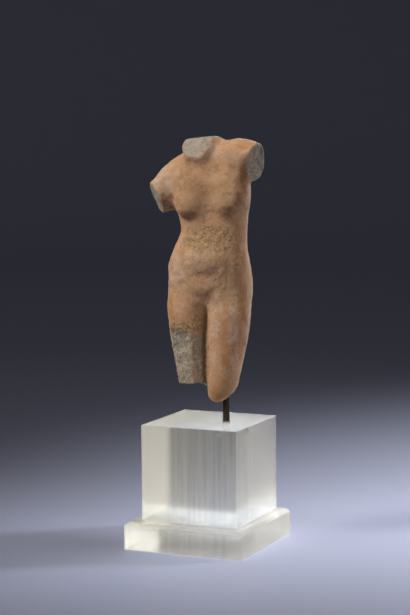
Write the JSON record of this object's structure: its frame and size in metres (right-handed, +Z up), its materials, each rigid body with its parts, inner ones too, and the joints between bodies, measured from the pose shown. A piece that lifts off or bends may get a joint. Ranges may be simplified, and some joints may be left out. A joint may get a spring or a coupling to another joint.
{
  "type": "terracotta torso sculpture",
  "caption": "Broken female torso of fired clay held by a thin rod above a stepped plinth of frosted acrylic.",
  "frame": {"origin": "centre of the underside of the base slab", "axes": "+Z up, -Y the front of the plinth, +X to the right of someone who looks at that front; the torso's front is turned 10 degrees from -Y towards +X"},
  "size_m": [0.074, 0.074, 0.238],
  "materials": {
    "terracotta": "matt, worn, with pale grit and dirt in the hollows and grey-beige breaks",
    "dark_metal": "dark brown, slightly glossy",
    "frosted_acrylic": "frosted and translucent, fine upright brush marks"
  },
  "bodies": {
    "root": {"torso": "terracotta", "mounting_rod": "dark_metal", "plinth_block": "frosted_acrylic", "base_slab": "frosted_acrylic"}
  },
  "joints": []
}
